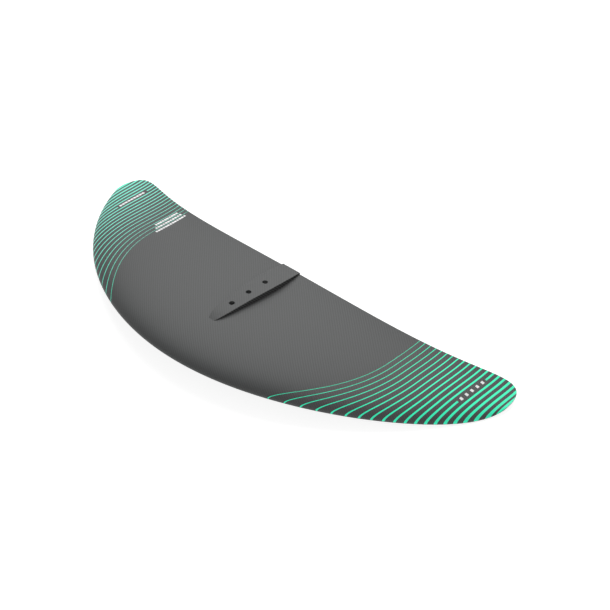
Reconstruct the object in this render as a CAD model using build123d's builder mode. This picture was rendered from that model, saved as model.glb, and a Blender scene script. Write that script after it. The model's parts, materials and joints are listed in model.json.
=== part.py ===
from build123d import *
import os
from math import asin, cos, pi, sin, sqrt

# Front wing of a hydrofoil: two carbon skins over foam cores and a spar, with a bonded saddle on top.
# Millimetres. +X is port, +Y is aft, +Z is up.
# The origin is the middle bolt hole, at the top of the saddle.

os.makedirs("parts", exist_ok=True)

# ---------------------------------------------------------------- planform
# t runs from 0 on the centreline to 1 at the tip.
span = 844.0
half_span = span / 2
bolt_to_trailing_edge = 99.2
root_chord = 273.2
trailing_edge_sweep = 38.7
trailing_edge_curl = 53.4
leading_edge_sweep = 231.5
leading_edge_curl = 33.4
tip_rounding = 70.8
trailing_tip_sharpness = 19
leading_tip_sharpness = 23

# ---------------------------------------------------------------- front view
saddle_height = 8.7
droop = 50.5
root_chord_slope = 0.077
tip_chord_slope_gain = 0.052

# ---------------------------------------------------------------- section
# Heights above and below the chord line, as shares of the chord.
upper_shape = (0.194, -0.223, 0.297, -0.295)
lower_shape = (0.130, -0.050)
trailing_edge_thickness = 1.2

# ---------------------------------------------------------------- laminate
skin_thickness = 1.4
solid_nose = 9.0
solid_tip = 19.0
cavity_end = half_span - solid_tip
cavity_rear_root = 0.84
cavity_rear_loss = 0.06
bead_depth = 8.0
strip_depth = 8.0
front_web_at = 0.20
rear_web_at = 0.55
web_thickness = 2.0
web_margin = 0.03
cap_thickness = 2.4
tip_filler_length = 53.0
tip_filler_start = cavity_end - tip_filler_length

# ---------------------------------------------------------------- saddle
saddle_nose = 88.0
saddle_overhang = 1.3
saddle_rear = bolt_to_trailing_edge + saddle_overhang
saddle_edge = ((8.6, -77.0), (11.3, -65.0), (14.5, -38.0), (17.2, -8.0), (18.9, 24.0), (19.6, 55.0))
saddle_rear_half_width = 18.1
saddle_front_radius = 650.0
saddle_rear_radius = 800.0
saddle_ramp_radius = 125.0
saddle_ramp_start = 58.0
saddle_ramp_sweep = 20.0

# ---------------------------------------------------------------- bolts
bolt_pitch = 38.0
bolt_count = 3
bolt_hole_radius = 4.5
bushing_radius = 6.5
seat_radius = 8.6
seat_rim = 1.3
block_half_width = 30.0
block_front_margin = 22.0

# ---------------------------------------------------------------- sampling
tip_angle = 87.5
half_stations = 12
section_points = 9
hollow_points = 6
hollow_stations = 8
well_clear = 300.0
bolt_clear = 9.0
span_margin = 1.0


def tip_curve(t, sharpness):
    """0 over most of the span, rising steeply to 1 at the tip."""
    return 1 - sqrt(max(1 - t**sharpness, 0))


def trailing_edge_y(t):
    """Fore-and-aft place of the trailing edge."""
    straight = bolt_to_trailing_edge + trailing_edge_sweep * t**2 + trailing_edge_curl * t**4
    return straight - tip_rounding * tip_curve(t, trailing_tip_sharpness)


def leading_edge_y(t):
    """Fore-and-aft place of the leading edge, which meets the trailing edge at the tip."""
    root = bolt_to_trailing_edge - root_chord
    tip_gap = trailing_edge_y(1) - root - leading_edge_sweep - leading_edge_curl
    curved = root + leading_edge_sweep * t**2 + leading_edge_curl * t**6
    return curved + tip_gap * tip_curve(t, leading_tip_sharpness)


def trailing_edge_z(t):
    """Height of the trailing edge, which droops towards the tips."""
    return -saddle_height - droop * t**2


def chord_point(t, share):
    """Point on the chord line, a share of the chord behind the leading edge."""
    front = leading_edge_y(t)
    rear = trailing_edge_y(t)
    slope = root_chord_slope + tip_chord_slope_gain * t**4
    y = front + share * (rear - front)
    return y, trailing_edge_z(t) - slope * (rear - y)


def surface_point(t, share, side, wall=0.0):
    """Point on the upper (side 1) or lower (side -1) face, or that far below it."""
    shape = upper_shape if side > 0 else lower_shape
    chord = trailing_edge_y(t) - leading_edge_y(t)
    fullness = sum(factor * share**power for power, factor in enumerate(shape))
    height = chord * sqrt(share) * (1 - share) * fullness + share * trailing_edge_thickness / 2
    y, z = chord_point(t, share)
    return y, z + side * (height - wall)


def section_shares():
    """Places along the chord, close together at the nose."""
    return [1 - cos(pi / 2 * step / section_points) for step in range(section_points + 1)]


def outer_stations():
    """Places along the span, close together at the tips."""
    steps = range(-half_stations, half_stations + 1)
    return [half_span * sin(tip_angle * pi / 180 * step / half_stations) for step in steps]


def inner_stations(end):
    """Evenly spaced places along the span, out to a given distance."""
    steps = range(-hollow_stations, hollow_stations + 1)
    return [end * step / hollow_stations for step in steps]


def hollow_front(t):
    """Share of the chord where the hollow starts, behind the solid nose."""
    return solid_nose / (trailing_edge_y(t) - leading_edge_y(t))


def hollow_rear(t):
    """Share of the chord where the hollow ends, ahead of the solid trailing edge."""
    return cavity_rear_root - cavity_rear_loss * t


def space_under_skins(front, rear, wall, end):
    """Space a given wall below both faces, between two shares of the chord given as functions of t."""
    with BuildPart() as space:
        for x in inner_stations(end):
            t = abs(x) / half_span
            step = (rear(t) - front(t)) / hollow_points
            shares = [front(t) + step * count for count in range(hollow_points + 1)]
            top = [surface_point(t, share, 1, wall) for share in shares]
            bottom = [surface_point(t, share, -1, wall) for share in reversed(shares)]
            with BuildSketch(Plane.YZ.offset(x)):
                with BuildLine():
                    Spline(*top)
                    Line(top[-1], bottom[0])
                    Spline(*bottom)
                    Line(bottom[-1], top[0])
                make_face()
        loft()
    return space.part


def spanwise_slab(front, rear):
    """Upright slab that follows the planform, between two lines given as functions of t."""
    with BuildPart() as slab:
        for x in inner_stations((half_span + cavity_end) / 2):
            t = abs(x) / half_span
            with BuildSketch(Plane.YZ.offset(x)):
                with BuildLine():
                    Polyline(
                        (front(t), -well_clear),
                        (rear(t), -well_clear),
                        (rear(t), well_clear),
                        (front(t), well_clear),
                        close=True,
                    )
                make_face()
        loft()
    return slab.part


def chord_share_y(t, share):
    """Fore-and-aft place of a share of the chord."""
    return chord_point(t, share)[0]


def crown_drop(y):
    """How far the saddle's domed top has fallen at a distance from the middle bolt."""
    radius = saddle_rear_radius if y > 0 else saddle_front_radius
    return radius - sqrt(radius**2 - y**2)


def bolt_places():
    """Fore-and-aft places of the bolt holes, the middle one at the origin."""
    return [bolt_pitch * (step - (bolt_count - 1) / 2) for step in range(bolt_count)]


def seat_height(y):
    """Height of the lower face under a bolt."""
    share = (y - leading_edge_y(0)) / root_chord
    return surface_point(0, share, -1)[1]


def turned_about_bolt(y, profile):
    """Sketch a half profile of (radius, height) points and revolve it about one bolt."""
    with BuildPart() as turned:
        with BuildSketch(Plane.XZ.offset(-y)):
            with BuildLine():
                Polyline(*profile, close=True)
            make_face()
        revolve(axis=Axis((0, y, 0), (0, 0, 1)))
    return turned.part


def bushing_blank(y):
    """Outside of a bushing: a wide rim under the countersink, then a plain shank."""
    rim = seat_radius + seat_rim
    seat = seat_height(y)
    profile = (
        (0, seat - bolt_clear),
        (rim, seat - bolt_clear),
        (rim, seat + seat_rim),
        (bushing_radius, seat + seat_rim + rim - bushing_radius),
        (bushing_radius, bolt_clear),
        (0, bolt_clear),
    )
    return turned_about_bolt(y, profile)


def screw_space(y):
    """Through hole with a right-angled countersink in the lower face."""
    seat = seat_height(y)
    profile = (
        (0, seat - bolt_clear),
        (seat_radius, seat - bolt_clear),
        (seat_radius, seat),
        (bolt_hole_radius, seat + seat_radius - bolt_hole_radius),
        (bolt_hole_radius, bolt_clear),
        (0, bolt_clear),
    )
    return turned_about_bolt(y, profile)


bushing_blanks = [bushing_blank(y) for y in bolt_places()]
screw_spaces = [screw_space(y) for y in bolt_places()]

# ---------------------------------------------------------------- whole moulding
with BuildPart() as wing:
    for x in outer_stations():
        t = abs(x) / half_span
        upper = [surface_point(t, share, 1) for share in reversed(section_shares())]
        lower = [surface_point(t, share, -1) for share in section_shares()]
        with BuildSketch(Plane.YZ.offset(x)):
            with BuildLine():
                Spline(*upper, *lower[1:])
                Line(lower[-1], upper[0])
            make_face()
    loft()

# Everything below the chord lines. Its top is where the two skins are bonded.
with BuildPart() as below_parting:
    for x in (-half_span - span_margin, *outer_stations(), half_span + span_margin):
        t = min(abs(x) / half_span, 1)
        rear, rear_z = chord_point(t, 1)
        slope = root_chord_slope + tip_chord_slope_gain * t**4
        with BuildSketch(Plane.YZ.offset(x)):
            with BuildLine():
                Polyline(
                    (-well_clear, rear_z + slope * (-well_clear - rear)),
                    (-well_clear, -well_clear),
                    (well_clear, -well_clear),
                    (well_clear, rear_z + slope * (well_clear - rear)),
                    close=True,
                )
            make_face()
    loft()

hollow = space_under_skins(hollow_front, hollow_rear, skin_thickness, cavity_end)
under_caps = space_under_skins(
    lambda t: front_web_at - web_margin,
    lambda t: rear_web_at + web_margin,
    skin_thickness + cap_thickness,
    tip_filler_start + tip_filler_length / 2,
)

# ---------------------------------------------------------------- skins
with BuildPart() as upper_skin:
    add(wing.part)
    add(hollow, mode=Mode.SUBTRACT)
    add(below_parting.part, mode=Mode.SUBTRACT)

with BuildPart() as bushing_space:
    add(bushing_blanks)
    add(wing.part, mode=Mode.INTERSECT)
    add(upper_skin.part, mode=Mode.SUBTRACT)

with upper_skin:
    add(screw_spaces, mode=Mode.SUBTRACT)

with BuildPart() as lower_skin:
    add(wing.part)
    add(hollow, mode=Mode.SUBTRACT)
    add(below_parting.part, mode=Mode.INTERSECT)
    add(bushing_space.part, mode=Mode.SUBTRACT)

# ---------------------------------------------------------------- saddle
with BuildPart() as saddle:
    with BuildSketch():
        with BuildLine():
            port_side = ((saddle_rear_half_width, saddle_rear), *reversed(saddle_edge))
            starboard_side = [(-x, y) for x, y in reversed(port_side)]
            Spline(*port_side, (0, -saddle_nose), *starboard_side)
            Line(starboard_side[-1], port_side[0])
        make_face()
    extrude(amount=well_clear, both=True)
    with BuildSketch(Plane.YZ.offset(-well_clear)):
        with BuildLine():
            ramp_top = (-saddle_ramp_start, -crown_drop(saddle_ramp_start))
            rear_top = (saddle_rear, -crown_drop(saddle_rear))
            rear_bottom = (saddle_rear, trailing_edge_z(0))
            crown_points = [(y, -crown_drop(y)) for y in (-saddle_ramp_start / 2, saddle_rear / 2)]
            ThreePointArc(ramp_top, crown_points[0], (0, 0))
            ThreePointArc((0, 0), crown_points[1], rear_top)
            heading = asin(saddle_ramp_start / saddle_front_radius)
            ramp = JernArc(ramp_top, (-cos(heading), -sin(heading)), saddle_ramp_radius, saddle_ramp_sweep)
            buried = ((ramp @ 1).X, chord_point(0, 0)[1])
            Polyline(ramp @ 1, buried, (bolt_to_trailing_edge, trailing_edge_z(0)), rear_bottom, rear_top)
        make_face()
    extrude(amount=2 * well_clear, dir=(1, 0, 0), mode=Mode.INTERSECT)
    add(wing.part, mode=Mode.SUBTRACT)
    add(screw_spaces, mode=Mode.SUBTRACT)

# ---------------------------------------------------------------- inside
bead_slab = spanwise_slab(
    lambda t: leading_edge_y(t) - solid_nose,
    lambda t: leading_edge_y(t) + solid_nose + bead_depth,
)
strip_slab = spanwise_slab(
    lambda t: chord_share_y(t, hollow_rear(t)) - strip_depth,
    lambda t: chord_share_y(t, hollow_rear(t)) + strip_depth,
)
front_web_slab = spanwise_slab(
    lambda t: chord_share_y(t, front_web_at) - web_thickness / 2,
    lambda t: chord_share_y(t, front_web_at) + web_thickness / 2,
)
rear_web_slab = spanwise_slab(
    lambda t: chord_share_y(t, rear_web_at) - web_thickness / 2,
    lambda t: chord_share_y(t, rear_web_at) + web_thickness / 2,
)
ahead_of_webs = spanwise_slab(
    lambda t: leading_edge_y(t) - solid_nose,
    lambda t: chord_share_y(t, front_web_at) - web_thickness / 2,
)
between_webs = spanwise_slab(
    lambda t: chord_share_y(t, front_web_at) + web_thickness / 2,
    lambda t: chord_share_y(t, rear_web_at) - web_thickness / 2,
)
behind_webs = spanwise_slab(
    lambda t: chord_share_y(t, rear_web_at) + web_thickness / 2,
    lambda t: trailing_edge_y(t) + solid_nose,
)

with BuildPart() as leading_edge_bead:
    add(hollow)
    add(bead_slab, mode=Mode.INTERSECT)

with BuildPart() as trailing_edge_strip:
    add(hollow)
    add(strip_slab, mode=Mode.INTERSECT)

# The middle of the hollow, without its two edges, and its two outer ends.
with BuildPart() as bay:
    add(hollow)
    add(bead_slab, mode=Mode.SUBTRACT)
    add(strip_slab, mode=Mode.SUBTRACT)

with BuildPart() as middle_bay:
    add(bay.part)
    Box(2 * tip_filler_start, 2 * well_clear, 2 * well_clear, mode=Mode.INTERSECT)

with BuildPart() as tip_fillers:
    add(bay.part)
    Box(2 * tip_filler_start, 2 * well_clear, 2 * well_clear, mode=Mode.SUBTRACT)

with BuildPart() as front_web:
    add(middle_bay.part)
    add(front_web_slab, mode=Mode.INTERSECT)

with BuildPart() as caps:
    add(middle_bay.part)
    add(between_webs, mode=Mode.INTERSECT)
    add(under_caps, mode=Mode.SUBTRACT)
    add(bushing_space.part, mode=Mode.SUBTRACT)

# The laminate block fills the middle of the hollow round the bolts, from skin to skin.
block_front = -bolt_pitch - block_front_margin
with BuildPart() as block_space:
    with Locations((0, block_front, 0)):
        Box(2 * block_half_width, well_clear, 2 * well_clear, align=(Align.CENTER, Align.MIN, Align.CENTER))

with BuildPart() as root_block:
    add(middle_bay.part)
    add(block_space.part, mode=Mode.INTERSECT)
    add(caps.part, mode=Mode.SUBTRACT)
    add(bushing_space.part, mode=Mode.SUBTRACT)

with BuildPart() as rear_webs:
    add(middle_bay.part)
    add(rear_web_slab, mode=Mode.INTERSECT)
    add(block_space.part, mode=Mode.SUBTRACT)

with BuildPart() as bolt_bushings:
    add(bushing_space.part)
    add(screw_spaces, mode=Mode.SUBTRACT)


def foam_core(side, space, roof=None):
    """Foam of one side that fills a space beside the webs, up to a roof, outboard of the root block."""
    with BuildPart() as foam:
        add(middle_bay.part)
        with Locations((side * well_clear, 0, 0)):
            Box(2 * well_clear, 2 * well_clear, 2 * well_clear, mode=Mode.INTERSECT)
        add(space, mode=Mode.INTERSECT)
        if roof is not None:
            add(roof, mode=Mode.INTERSECT)
        add(block_space.part, mode=Mode.SUBTRACT)
    return foam.part


with BuildPart() as spar_cap_upper:
    add(caps.part.solids().sort_by(Axis.Z)[-1])

with BuildPart() as spar_cap_lower:
    add(caps.part.solids().sort_by(Axis.Z)[0])

# ---------------------------------------------------------------- finished pieces
pieces = {
    "upper_skin": upper_skin.part,
    "lower_skin": lower_skin.part,
    "saddle": saddle.part,
    "root_block": root_block.part,
    "bolt_bushings": bolt_bushings.part,
    "spar_cap_upper": spar_cap_upper.part,
    "spar_cap_lower": spar_cap_lower.part,
    "front_web": front_web.part,
    "leading_edge_bead": leading_edge_bead.part,
    "trailing_edge_strip": trailing_edge_strip.part,
}
for side_name, side in (("port", 1), ("starboard", -1)):
    pieces[f"nose_core_{side_name}"] = foam_core(side, ahead_of_webs)
    pieces[f"box_core_{side_name}"] = foam_core(side, between_webs, under_caps)
    pieces[f"tail_core_{side_name}"] = foam_core(side, behind_webs)
    pieces[f"rear_web_{side_name}"] = rear_webs.part.solids().sort_by(Axis.X)[-1 if side > 0 else 0]
    pieces[f"tip_filler_{side_name}"] = tip_fillers.part.solids().sort_by(Axis.X)[-1 if side > 0 else 0]

for name, piece in pieces.items():
    piece.label = name
    export_step(piece, f"parts/{name}.step")
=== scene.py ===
import json
import math

import bmesh
import bpy
from mathutils import Matrix, Vector


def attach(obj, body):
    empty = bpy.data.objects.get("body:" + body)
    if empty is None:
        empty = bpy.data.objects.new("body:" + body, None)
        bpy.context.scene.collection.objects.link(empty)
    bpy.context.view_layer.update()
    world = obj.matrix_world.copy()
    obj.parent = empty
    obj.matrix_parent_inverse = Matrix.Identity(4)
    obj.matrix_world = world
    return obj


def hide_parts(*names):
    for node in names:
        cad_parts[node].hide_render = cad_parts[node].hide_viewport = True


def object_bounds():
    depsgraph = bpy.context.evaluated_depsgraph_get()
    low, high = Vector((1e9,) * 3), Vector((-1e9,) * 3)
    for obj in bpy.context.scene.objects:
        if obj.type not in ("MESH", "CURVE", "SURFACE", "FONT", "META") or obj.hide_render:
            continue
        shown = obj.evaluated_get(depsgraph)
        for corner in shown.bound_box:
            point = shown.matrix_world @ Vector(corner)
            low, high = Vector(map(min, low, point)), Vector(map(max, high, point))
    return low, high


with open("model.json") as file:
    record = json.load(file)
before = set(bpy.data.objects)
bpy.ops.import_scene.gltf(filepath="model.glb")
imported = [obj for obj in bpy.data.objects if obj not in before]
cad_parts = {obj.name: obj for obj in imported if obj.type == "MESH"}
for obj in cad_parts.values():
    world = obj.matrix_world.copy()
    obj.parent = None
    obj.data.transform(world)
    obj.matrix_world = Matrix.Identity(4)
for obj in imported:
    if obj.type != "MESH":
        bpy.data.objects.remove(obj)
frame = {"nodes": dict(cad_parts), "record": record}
cad_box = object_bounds()

# A hydrofoil front wing: carbon skins, a raised saddle with bolt holes, and mint stripes at both tips.
# Shapes are worked out in millimetres and placed in metres.
# +X is port, +Y is aft, +Z is up; the middle bolt hole is the origin.
mm = 0.001

# ---------------------------------------------------------------- planform and section, as in the CAD
half_span = 422.0
bolt_to_trailing_edge = 99.2
root_chord = 273.2
trailing_edge_sweep = 38.7
trailing_edge_curl = 53.4
leading_edge_sweep = 231.5
leading_edge_curl = 33.4
tip_rounding = 70.8
trailing_tip_sharpness = 19
leading_tip_sharpness = 23
saddle_height = 8.7
droop = 50.5
root_chord_slope = 0.077
tip_chord_slope_gain = 0.052
upper_shape = (0.194, -0.223, 0.297, -0.295)
lower_shape = (0.130, -0.050)
trailing_edge_thickness = 1.2
tip_angle = math.radians(87.5)

# ---------------------------------------------------------------- hollow inside the skins
skin_thickness = 1.4
solid_nose = 9.0
cavity_end = 403.0
cavity_rear_root = 0.84
cavity_rear_loss = 0.06

# ---------------------------------------------------------------- saddle and bolts
saddle_nose = 88.0
saddle_rear = bolt_to_trailing_edge + 1.3
saddle_outline = (769.4, -1219.3, 1429.6, -797.4, 155.5)
saddle_front_radius = 650.0
saddle_rear_radius = 800.0
saddle_ramp_radius = 125.0
saddle_ramp_start = 58.0
saddle_edge_radius = 0.5
saddle_sink = 0.4
bolt_pitch = 38.0
bolt_places = (-bolt_pitch, 0.0, bolt_pitch)
bolt_hole_radius = 4.5
drill_reach = 60.0
bushing_rim_radius = 9.9

# ---------------------------------------------------------------- stripes and marks
stripe_count = 19
first_stripe_at = 250.8
stripe_pitch = 8.96
stripes_bend_at = 48.3
bend_first = 21.6
bend_loss = 1.15
bend_power = 2.17
first_stripe_width = 0.65
stripe_width_gain = 0.19
gap_stripe = 14
gap_front = 68.0
gap_rear = 136.6
tip_patch_inside = 417.4
print_lift = 0.07
film_thickness = 0.05
port_bars = 5
port_bars_from = 76.5
port_bar_pitch = 13.0
port_bar_size = (5.4, 5.0)
gap_bars = 9
gap_bars_from = 74.0
gap_bar_pitch = 6.6
gap_bar_size = (5.2, 5.4)
row_ends = ((38.0, 108.0), (46.0, 107.0), (54.0, 107.0))
row_inboard = 0.6
dash_pitch = 5.4
dash_width = 4.4
dash_length = 4.6
short_dash_length = 3.6

# ---------------------------------------------------------------- finishes
tow_width = 1.3
painted_glare_from = 0.32
painted_glare_to = 0.55

# ---------------------------------------------------------------- mesh density
span_steps = 180
chord_steps = 56
stripe_steps = 60
saddle_steps_along = 72
saddle_steps_across = 16
search_front = -160.0
search_rear = 170.0
edge_halvings = 34
cut_halvings = 24
normal_step = 0.05
flat_tip = 4.0
upright = 0.4

# ---------------------------------------------------------------- studio, in metres
camera_place = (1.5593, -1.7054, 1.7303)
camera_forward = (-0.51433, 0.60836, -0.60445)
camera_up = (-0.42392, 0.43233, 0.79585)
camera_lens = 108.96
camera_shift = 0.0008
floor_half_size = 6.0
floor_clearance = 0.0005
floor_glow = 0.85
world_strength = 0.34
key_place = (-0.95, 1.3, 1.9)
fill_place = (1.4, -1.2, 1.2)
key_size = 2.6
fill_size = 1.2
key_power = 63.0
fill_power = 3.0


# ================================================================ shape formulas
def tip_curve(t, sharpness):
    """0 over most of the span, rising steeply to 1 at the tip."""
    return 1 - math.sqrt(max(1 - t**sharpness, 0))


def trailing_edge_y(t):
    straight = bolt_to_trailing_edge + trailing_edge_sweep * t**2 + trailing_edge_curl * t**4
    return straight - tip_rounding * tip_curve(t, trailing_tip_sharpness)


def leading_edge_y(t):
    root = bolt_to_trailing_edge - root_chord
    tip_gap = trailing_edge_y(1) - root - leading_edge_sweep - leading_edge_curl
    curved = root + leading_edge_sweep * t**2 + leading_edge_curl * t**6
    return curved + tip_gap * tip_curve(t, leading_tip_sharpness)


def skin_point(x, share, side, height_share=1.0, wall=0.0):
    """Point on the upper (side 1) or lower (side -1) face, in millimetres.

    A height share of 0 gives the parting line, where the two skins meet."""
    t = min(abs(x) / half_span, 1.0)
    front = leading_edge_y(t)
    rear = trailing_edge_y(t)
    y = front + share * (rear - front)
    slope = root_chord_slope + tip_chord_slope_gain * t**4
    chord_z = -saddle_height - droop * t**2 - slope * (rear - y)
    shape = upper_shape if side > 0 else lower_shape
    fullness = sum(factor * share**power for power, factor in enumerate(shape))
    height = (rear - front) * math.sqrt(share) * (1 - share) * fullness
    height += share * trailing_edge_thickness / 2
    return Vector((x, y, chord_z + side * height_share * (height - wall)))


def chord_share(x, y):
    """Share of the chord at which a fore-and-aft place lies."""
    t = min(abs(x) / half_span, 1.0)
    front = leading_edge_y(t)
    return (y - front) / max(trailing_edge_y(t) - front, 1.0)


def nose_spacing(part):
    """0..1 turned into shares of the chord that lie close together at the nose."""
    return 1 - math.cos(math.pi / 2 * part)


def on_upper_skin(x, y, lift):
    """Point lifted off the upper skin at a place in plan, in millimetres."""
    share = min(max(chord_share(x, y), 0.0), 1.0)
    around = math.acos(1 - share) / (math.pi / 2)
    step = 0.002
    here = skin_point(x, share, 1)
    behind = skin_point(x, nose_spacing(max(around - step, 0.0)), 1)
    ahead = skin_point(x, nose_spacing(min(around + step, 1.0)), 1)
    beside = skin_point(x + normal_step, share, 1) - skin_point(x - normal_step, share, 1)
    if abs(x) > half_span - flat_tip:
        beside = Vector((1, 0, 0))
    normal = beside.cross(ahead - behind).normalized()
    return here + normal * lift


# ================================================================ mesh helpers
def new_piece(name, bm, material, stands_for=(), sharp_angle=35):
    """Turn a bmesh in millimetres into a finished piece on the wing."""
    bmesh.ops.scale(bm, vec=(mm, mm, mm), verts=bm.verts)
    mesh = bpy.data.meshes.new(name)
    bm.to_mesh(mesh)
    bm.free()
    mesh.shade_smooth()
    mesh.set_sharp_from_angle(angle=math.radians(sharp_angle))
    mesh.materials.append(material)
    piece = bpy.data.objects.new(name, mesh)
    bpy.context.scene.collection.objects.link(piece)
    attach(piece, "root")
    if stands_for:
        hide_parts(*stands_for)
    return piece


def boundary_loop(bm, faces):
    """Edges with a single face, among the edges of some faces."""
    edges = {edge for face in faces for edge in face.edges}
    return [edge for edge in edges if edge.is_boundary]


def cut_holes(piece, radius):
    """Drill the bolt holes right through a piece."""
    cutter_bm = bmesh.new()
    for y in bolt_places:
        ends = (-drill_reach, drill_reach)
        verts = [cutter_bm.verts.new((radius, y, z)) for z in ends]
        edges = [cutter_bm.edges.new(pair) for pair in zip(verts, verts[1:])]
        bmesh.ops.spin(
            cutter_bm,
            geom=verts + edges,
            cent=(0, y, 0),
            axis=(0, 0, 1),
            angle=2 * math.pi,
            steps=64,
            use_merge=True,
        )
    bmesh.ops.remove_doubles(cutter_bm, verts=cutter_bm.verts, dist=1e-4)
    bmesh.ops.holes_fill(cutter_bm, edges=cutter_bm.edges, sides=0)
    bmesh.ops.recalc_face_normals(cutter_bm, faces=cutter_bm.faces)
    bmesh.ops.scale(cutter_bm, vec=(mm, mm, mm), verts=cutter_bm.verts)
    cutter_mesh = bpy.data.meshes.new("bolt_drill")
    cutter_bm.to_mesh(cutter_mesh)
    cutter_bm.free()
    cutter = bpy.data.objects.new("bolt_drill", cutter_mesh)
    bpy.context.scene.collection.objects.link(cutter)
    drill = piece.modifiers.new("drill", "BOOLEAN")
    drill.operation = "DIFFERENCE"
    drill.solver = "EXACT"
    drill.object = cutter
    bpy.context.view_layer.update()
    drilled = piece.evaluated_get(bpy.context.evaluated_depsgraph_get())
    mesh = bpy.data.meshes.new_from_object(drilled)
    piece.modifiers.clear()
    blank = piece.data
    piece.data = mesh
    bpy.data.meshes.remove(blank)
    mesh.name = piece.name
    bpy.data.objects.remove(cutter)
    bpy.data.meshes.remove(cutter_mesh)


# ================================================================ materials
def shader(name, color, roughness, metallic=0.0, specular=0.5):
    """New material with its Principled shader set."""
    material = bpy.data.materials.new(name)
    material.use_nodes = True
    principled = material.node_tree.nodes["Principled BSDF"]
    principled.inputs["Base Color"].default_value = (*color, 1)
    principled.inputs["Roughness"].default_value = roughness
    principled.inputs["Metallic"].default_value = metallic
    principled.inputs["Specular IOR Level"].default_value = specular
    return material


def fluorescent_with_painted_light(name, color, painted_glare_tint, roughness, glow):
    """Fluorescent paint with painted light: a little emission of its own that stands in for its
    fluorescence, and a painted glare that makes it paler where it is seen at a low angle.
    """
    material = shader(name, color, roughness, specular=0.3)
    nodes = material.node_tree.nodes
    links = material.node_tree.links
    principled = nodes["Principled BSDF"]
    facing = nodes.new("ShaderNodeLayerWeight")
    turn = nodes.new("ShaderNodeMapRange")
    turn.inputs["From Min"].default_value = painted_glare_from
    turn.inputs["From Max"].default_value = painted_glare_to
    links.new(facing.outputs["Facing"], turn.inputs["Value"])
    tint = nodes.new("ShaderNodeMix")
    tint.data_type = "RGBA"
    tint.inputs["A"].default_value = (*color, 1)
    tint.inputs["B"].default_value = (*painted_glare_tint, 1)
    links.new(turn.outputs["Result"], tint.inputs["Factor"])
    links.new(tint.outputs["Result"], principled.inputs["Base Color"])
    principled.inputs["Emission Color"].default_value = (*color, 1)
    principled.inputs["Emission Strength"].default_value = glow
    return material


def math_node(nodes, links, operation, first, second=None):
    """Math node fed by two values, each a number or a socket."""
    node = nodes.new("ShaderNodeMath")
    node.operation = operation
    for socket, value in zip(node.inputs, (first, second)):
        if value is None:
            continue
        if isinstance(value, (int, float)):
            socket.default_value = value
        else:
            links.new(value, socket)
    return node.outputs[0]


def twill_carbon(name, color, contrast, roughness, tow, bump):
    """Woven carbon: a two-over-two twill whose tows run along the span and the chord."""
    material = shader(name, color, roughness, specular=0.4)
    nodes = material.node_tree.nodes
    links = material.node_tree.links
    principled = nodes["Principled BSDF"]
    place = nodes.new("ShaderNodeTexCoord")
    split = nodes.new("ShaderNodeSeparateXYZ")
    links.new(place.outputs["Object"], split.inputs[0])
    x, y, z = split.outputs
    spanwise = math_node(nodes, links, "ADD", x, z)
    across = math_node(nodes, links, "DIVIDE", spanwise, tow * mm)
    along = math_node(nodes, links, "DIVIDE", y, tow * mm)
    # which tow of each set lies here, and which set is on top
    column = math_node(nodes, links, "FLOOR", across)
    row = math_node(nodes, links, "FLOOR", along)
    sum_of_tows = math_node(nodes, links, "ADD", column, row)
    quarter = math_node(nodes, links, "FLOORED_MODULO", sum_of_tows, 4.0)
    spanwise_on_top = math_node(nodes, links, "LESS_THAN", quarter, 1.5)
    # rounded back of each tow
    across_crown = math_node(nodes, links, "PINGPONG", across, 0.5)
    along_crown = math_node(nodes, links, "PINGPONG", along, 0.5)
    height = nodes.new("ShaderNodeMix")
    links.new(spanwise_on_top, height.inputs["Factor"])
    links.new(across_crown, height.inputs["A"])
    links.new(along_crown, height.inputs["B"])
    # painted sheen: tows of the two sets are painted darker and lighter, standing in for how they catch the
    # light differently
    dark = tuple(channel * (1 - contrast) for channel in color)
    light = tuple(channel * (1 + contrast) for channel in color)
    tint = nodes.new("ShaderNodeMix")
    tint.data_type = "RGBA"
    tint.inputs["A"].default_value = (*dark, 1)
    tint.inputs["B"].default_value = (*light, 1)
    links.new(spanwise_on_top, tint.inputs["Factor"])
    links.new(tint.outputs["Result"], principled.inputs["Base Color"])
    relief = nodes.new("ShaderNodeBump")
    relief.inputs["Strength"].default_value = bump
    relief.inputs["Distance"].default_value = 0.1 * mm
    links.new(height.outputs["Result"], relief.inputs["Height"])
    links.new(relief.outputs["Normal"], principled.inputs["Normal"])
    return material


def mottled(name, color, contrast, roughness, cell, bump):
    """Plain finish broken up by fine noise, such as foam or cured laminate."""
    material = shader(name, color, roughness)
    nodes = material.node_tree.nodes
    links = material.node_tree.links
    principled = nodes["Principled BSDF"]
    place = nodes.new("ShaderNodeTexCoord")
    noise = nodes.new("ShaderNodeTexNoise")
    noise.inputs["Scale"].default_value = 1 / (cell * mm)
    noise.inputs["Detail"].default_value = 3
    links.new(place.outputs["Object"], noise.inputs["Vector"])
    tint = nodes.new("ShaderNodeMix")
    tint.data_type = "RGBA"
    tint.inputs["A"].default_value = (*(channel * (1 - contrast) for channel in color), 1)
    tint.inputs["B"].default_value = (*(min(channel * (1 + contrast), 1) for channel in color), 1)
    links.new(noise.outputs["Fac"], tint.inputs["Factor"])
    links.new(tint.outputs["Result"], principled.inputs["Base Color"])
    relief = nodes.new("ShaderNodeBump")
    relief.inputs["Strength"].default_value = bump
    relief.inputs["Distance"].default_value = 0.1 * mm
    links.new(noise.outputs["Fac"], relief.inputs["Height"])
    links.new(relief.outputs["Normal"], principled.inputs["Normal"])
    return material


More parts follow.
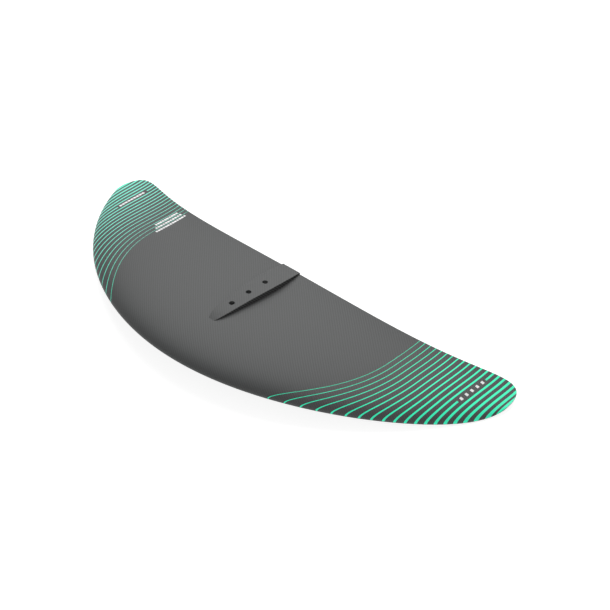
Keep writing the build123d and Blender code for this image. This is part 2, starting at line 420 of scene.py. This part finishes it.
skin_carbon = twill_carbon("skin_carbon", (0.0685, 0.071, 0.071), 0.10, 0.55, tow_width, 0.35)
saddle_carbon = twill_carbon("saddle_carbon", (0.0705, 0.073, 0.073), 0.10, 0.55, tow_width, 0.35)
# painted shade: a darker copy of the saddle carbon for the saddle's upright wall, standing in for the shade
# on its sides
saddle_wall_carbon_painted_shade = twill_carbon("saddle_wall_carbon_painted_shade", (0.052, 0.053, 0.053), 0.5, 0.6, tow_width, 0.5)
mint = (0.046, 0.95, 0.55)
# painted light: the mint paint glows a little for its fluorescence, and turns paler at low angles as a
# painted glare
mint_painted_glare = (0.22, 0.72, 0.59)
stripe_paint = fluorescent_with_painted_light("mint_paint", mint, mint_painted_glare, 0.45, 0.12)
mark_paint = shader("white_paint", (0.9, 0.9, 0.9), 0.45, specular=0.3)
laminate = mottled("cured_laminate", (0.03, 0.03, 0.032), 0.3, 0.5, 1.5, 0.3)
foam = mottled("closed_cell_foam", (0.75, 0.72, 0.62), 0.08, 0.9, 0.8, 0.5)
turned_steel = mottled("turned_steel", (0.6, 0.6, 0.6), 0.05, 0.3, 0.5, 0.05)
turned_steel.node_tree.nodes["Principled BSDF"].inputs["Metallic"].default_value = 1.0


# ================================================================ skins
def outer_face(bm, side):
    """Outer face of one skin, folded down to the parting line at its rear edge and both tips."""
    made = bmesh.ops.create_grid(bm, x_segments=span_steps, y_segments=chord_steps, size=1.0)
    for vertex in made["verts"]:
        column = round((vertex.co.x + 1) / 2 * span_steps)
        row = round((vertex.co.y + 1) / 2 * chord_steps)
        along_span = 2 * min(max((column - 1) / (span_steps - 2), 0), 1) - 1
        x = half_span * math.sin(tip_angle * along_span)
        share = nose_spacing(min(row / (chord_steps - 1), 1))
        at_edge = column in (0, span_steps) or row == chord_steps
        vertex.co = skin_point(x, share, side, 0.0 if at_edge else 1.0)
    return list({face for vertex in made["verts"] for face in vertex.link_faces})


def inner_face(bm, side):
    """Roof of the hollow under one skin, folded to the parting line all round."""
    made = bmesh.ops.create_grid(bm, x_segments=span_steps, y_segments=chord_steps, size=1.0)
    for vertex in made["verts"]:
        column = round((vertex.co.x + 1) / 2 * span_steps)
        row = round((vertex.co.y + 1) / 2 * chord_steps)
        x = cavity_end * (2 * min(max((column - 1) / (span_steps - 2), 0), 1) - 1)
        t = abs(x) / half_span
        front = solid_nose / (trailing_edge_y(t) - leading_edge_y(t))
        rear = cavity_rear_root - cavity_rear_loss * t
        share = front + (rear - front) * min(max((row - 1) / (chord_steps - 2), 0), 1)
        at_edge = column in (0, span_steps) or row in (0, chord_steps)
        vertex.co = skin_point(x, share, side, 0.0 if at_edge else 1.0, skin_thickness)
    return list({face for vertex in made["verts"] for face in vertex.link_faces})


def skin(name, node, side, hole_radius):
    """One moulded skin: outer face, bonding flange and hollow."""
    bm = bmesh.new()
    outer = outer_face(bm, side)
    inner = inner_face(bm, side)
    bmesh.ops.bridge_loops(bm, edges=boundary_loop(bm, outer) + boundary_loop(bm, inner))
    bmesh.ops.dissolve_degenerate(bm, dist=1e-5, edges=bm.edges)
    bmesh.ops.recalc_face_normals(bm, faces=bm.faces)
    piece = new_piece(name, bm, skin_carbon, stands_for=[node])
    cut_holes(piece, hole_radius)
    return piece


# ================================================================ saddle
def saddle_half_width(y):
    """Half the saddle's width at a fore-and-aft place."""
    behind_nose = (y + saddle_nose) / 100
    square = sum(factor * behind_nose ** (power + 1) for power, factor in enumerate(saddle_outline))
    return math.sqrt(max(square, 0))


def saddle_top(y):
    """Height of the saddle's top: a long dome that rolls off into a ramp at the nose."""
    if y > 0:
        return math.sqrt(saddle_rear_radius**2 - y**2) - saddle_rear_radius
    if y > -saddle_ramp_start:
        return math.sqrt(saddle_front_radius**2 - y**2) - saddle_front_radius
    heading = math.asin(saddle_ramp_start / saddle_front_radius)
    ramp_centre_y = -saddle_ramp_start + saddle_ramp_radius * math.sin(heading)
    ramp_centre_z = saddle_front_radius * (math.cos(heading) - 1) - saddle_ramp_radius * math.cos(heading)
    return ramp_centre_z + math.sqrt(saddle_ramp_radius**2 - (y - ramp_centre_y) ** 2)


def saddle_foot(x, y):
    """Height of the saddle's underside, just sunk into the upper skin."""
    share = chord_share(x, y)
    if share >= 1:
        return -saddle_height
    foot = skin_point(x, share, 1).z - saddle_sink
    return min(foot, saddle_top(y) - saddle_sink)


def saddle():
    """Raised pad round the bolts, with an upright wall and a crisp top edge."""
    bm = bmesh.new()
    top = bmesh.ops.create_grid(bm, x_segments=saddle_steps_across, y_segments=saddle_steps_along, size=1.0)
    length = saddle_nose + saddle_rear
    for vertex in top["verts"]:
        y = -saddle_nose + length * nose_spacing((vertex.co.y + 1) / 2) * 0.999 + length * 0.001
        x = vertex.co.x * saddle_half_width(y)
        vertex.co = Vector((x, y, saddle_top(y)))
    upper_faces = list(bm.faces)
    rim = boundary_loop(bm, upper_faces)
    copy = bmesh.ops.extrude_face_region(bm, geom=upper_faces)
    for item in copy["geom"]:
        if isinstance(item, bmesh.types.BMVert):
            item.co.z = saddle_foot(item.co.x, item.co.y)
    bmesh.ops.recalc_face_normals(bm, faces=bm.faces)
    top_edges = [edge for edge in rim if edge.is_valid]
    bmesh.ops.bevel(
        bm,
        geom=top_edges,
        offset=saddle_edge_radius,
        segments=3,
        profile=0.5,
        affect="EDGES",
        material=-1,
        clamp_overlap=True,
    )
    piece = new_piece("saddle_pad", bm, saddle_carbon, stands_for=["saddle"])
    cut_holes(piece, bolt_hole_radius)
    # painted shade: upright faces outside the holes get the darker wall copy of the carbon
    piece.data.materials.append(saddle_wall_carbon_painted_shade)
    for face in piece.data.polygons:
        x, y, _ = face.center / mm
        in_a_hole = any(math.hypot(x, y - place) < bolt_hole_radius + 1 for place in bolt_places)
        if abs(face.normal.z) < upright and not in_a_hole:
            face.material_index = 1
    return piece


# ================================================================ stripes and marks
def stripe_x(number, y):
    """Distance from the centreline of a stripe, which need not be a whole number of stripes out."""
    forward = max(0.0, stripes_bend_at - y) / 100
    bend = bend_first - bend_loss * number
    return first_stripe_at + stripe_pitch * number - bend * forward**bend_power


def stripe_edge(number, width, edge, share):
    """Plan place on one edge of a stripe, at a share of the chord, found by halving."""
    low, high = search_front, search_rear
    for _ in range(edge_halvings):
        y = (low + high) / 2
        lean = stripe_x(number, y + 0.5) - stripe_x(number, y - 0.5)
        x = stripe_x(number, y) + edge * width / 2 * math.sqrt(1 + lean**2)
        x = min(x, half_span * math.sin(tip_angle))
        if chord_share(x, y) < share:
            low = y
        else:
            high = y
    return x, y


def stripe_part(number, width, edge, y_cut):
    """How far round the section, 0 at the nose to 1 at the tail, a stripe edge reaches y_cut."""
    low, high = 0.0, 1.0
    for _ in range(cut_halvings):
        part = (low + high) / 2
        if stripe_edge(number, width, edge, nose_spacing(part))[1] < y_cut:
            low = part
        else:
            high = part
    return part


def add_ribbon(bm, side, number, width, start=None, end=None):
    """One painted stripe, from the nose or a cut end to the tail or a cut end."""
    made = bmesh.ops.create_grid(bm, x_segments=1, y_segments=stripe_steps, size=1.0)
    reach = {}
    for edge in (-1, 1):
        first = 0.0 if start is None else stripe_part(number, width, edge, start)
        last = 1.0 if end is None else stripe_part(number, width, edge, end)
        reach[edge] = (first, last)
    for vertex in made["verts"]:
        edge = 1 if vertex.co.x > 0 else -1
        first, last = reach[edge]
        part = first + (last - first) * (vertex.co.y + 1) / 2
        x, y = stripe_edge(number, width, edge, nose_spacing(part))
        place = on_upper_skin(x, y, print_lift)
        vertex.co = Vector((side * place.x, place.y, place.z))


def add_mark(bm, side, x, y, wide, long):
    """One small painted bar, centred at a place in plan."""
    made = bmesh.ops.create_grid(bm, x_segments=2, y_segments=2, size=0.5)
    for vertex in made["verts"]:
        place = on_upper_skin(x + vertex.co.x * wide, y + vertex.co.y * long, print_lift)
        vertex.co = Vector((side * place.x, place.y, place.z))


def painted(name, bm, material):
    """Finish painted shapes: turn them outwards and give them the thickness of a film."""
    bmesh.ops.remove_doubles(bm, verts=bm.verts, dist=1e-5)
    for face in bm.faces:
        face.normal_update()
        if face.normal.z < 0:
            face.normal_flip()
    bmesh.ops.solidify(bm, geom=bm.faces, thickness=film_thickness)
    bmesh.ops.recalc_face_normals(bm, faces=bm.faces)
    return new_piece(name, bm, material)


def stripes(name, side):
    bm = bmesh.new()
    for number in range(stripe_count):
        width = first_stripe_width + stripe_width_gain * number
        if number == gap_stripe - 1:
            add_ribbon(bm, side, number, width, end=gap_front)
            add_ribbon(bm, side, number, width, start=gap_rear)
        else:
            add_ribbon(bm, side, number, width)
    return painted(name, bm, stripe_paint)


def port_marks():
    """Five plain bars in the gap of one stripe."""
    bm = bmesh.new()
    x = stripe_x(gap_stripe - 1, gap_rear)
    for count in range(port_bars):
        add_mark(bm, 1, x, port_bars_from + port_bar_pitch * count, *port_bar_size)
    return painted("port_marks", bm, mark_paint)


def starboard_marks():
    """A row of short bars in the gap of one stripe, and three rows beside the first stripes."""
    bm = bmesh.new()
    x = stripe_x(gap_stripe - 1, gap_rear)
    for count in range(gap_bars):
        add_mark(bm, -1, x, gap_bars_from + gap_bar_pitch * count, *gap_bar_size)
    for row, (start, end) in enumerate(row_ends):
        dashes = round((end - start) / dash_pitch)
        for count in range(dashes):
            y = start + (end - start) * (count + 0.5) / dashes
            length = dash_length if count % 3 else short_dash_length
            add_mark(bm, -1, stripe_x(row - row_inboard, y), y, dash_width, length)
    return painted("starboard_marks", bm, mark_paint)


def tip_patch(side_name, side):
    """Edge of the next stripe, which only shows along the front of the tip."""
    bm = bmesh.new()
    made = bmesh.ops.create_grid(bm, x_segments=3, y_segments=24, size=1.0)
    tip_x = half_span * math.sin(tip_angle)
    for vertex in made["verts"]:
        x = tip_patch_inside + (tip_x - tip_patch_inside) * (vertex.co.x + 1) / 2
        place = on_upper_skin(x, skin_point(x, nose_spacing((vertex.co.y + 1) / 2), 1).y, print_lift)
        vertex.co = Vector((side * place.x, place.y, place.z))
    return painted(f"tip_patch_{side_name}", bm, stripe_paint)


# ================================================================ build the wing
skin("upper_shell", "upper_skin", 1, bolt_hole_radius)
skin("lower_shell", "lower_skin", -1, bushing_rim_radius)
saddle()
for side_name, side in (("port", 1), ("starboard", -1)):
    stripes(f"stripes_{side_name}", side)
    tip_patch(side_name, side)
port_marks()
starboard_marks()

node_materials = {"laminate": laminate, "foam": foam, "bushing_steel": turned_steel}
for subpart in frame["record"]["subparts"]:
    material = node_materials.get(subpart["material_slot"])
    if material is None:
        continue
    node = frame["nodes"][subpart["node"]]
    node.data.materials.clear()
    node.data.materials.append(material)


# ================================================================ studio
def floor():
    """Plain white floor under the tips."""
    bm = bmesh.new()
    bmesh.ops.create_grid(bm, x_segments=1, y_segments=1, size=floor_half_size)
    bmesh.ops.translate(bm, vec=(0, 0, cad_box[0].z - floor_clearance), verts=bm.verts)
    mesh = bpy.data.meshes.new("floor")
    bm.to_mesh(mesh)
    bm.free()
    white = shader("floor_white", (0.4, 0.4, 0.4), 0.9, specular=0.0)
    principled = white.node_tree.nodes["Principled BSDF"]
    principled.inputs["Emission Color"].default_value = (1, 1, 1, 1)
    principled.inputs["Emission Strength"].default_value = floor_glow
    mesh.materials.append(white)
    sheet = bpy.data.objects.new("floor", mesh)
    bpy.context.scene.collection.objects.link(sheet)


def soft_light(name, place, size, power):
    """Large square lamp pointed at the middle bolt hole."""
    data = bpy.data.lights.new(name, "AREA")
    data.shape = "SQUARE"
    data.size = size
    data.energy = power
    lamp = bpy.data.objects.new(name, data)
    lamp.location = place
    lamp.rotation_euler = (-Vector(place)).to_track_quat("-Z", "Y").to_euler()
    bpy.context.scene.collection.objects.link(lamp)


def studio():
    floor()
    world = bpy.data.worlds.new("studio")
    world.use_nodes = True
    backdrop = world.node_tree.nodes["Background"]
    backdrop.inputs["Color"].default_value = (1, 1, 1, 1)
    backdrop.inputs["Strength"].default_value = world_strength
    bpy.context.scene.world = world
    soft_light("key", key_place, key_size, key_power)
    soft_light("front_fill", fill_place, fill_size, fill_power)
    bpy.context.scene.view_settings.view_transform = "Standard"


def camera():
    """Camera above the port bow, looking down at the wing."""
    data = bpy.data.cameras.new("camera")
    data.sensor_width = 36.0
    data.lens = camera_lens
    data.shift_x = -camera_shift
    data.shift_y = camera_shift
    data.clip_start = 0.1
    data.clip_end = 50
    view = bpy.data.objects.new("camera", data)
    back = -Vector(camera_forward).normalized()
    up = (Vector(camera_up) - back * back.dot(Vector(camera_up))).normalized()
    right = up.cross(back)
    turn = Matrix((right, up, back)).transposed().to_4x4()
    view.matrix_world = Matrix.Translation(Vector(camera_place)) @ turn
    bpy.context.scene.collection.objects.link(view)
    bpy.context.scene.camera = view


studio()
camera()
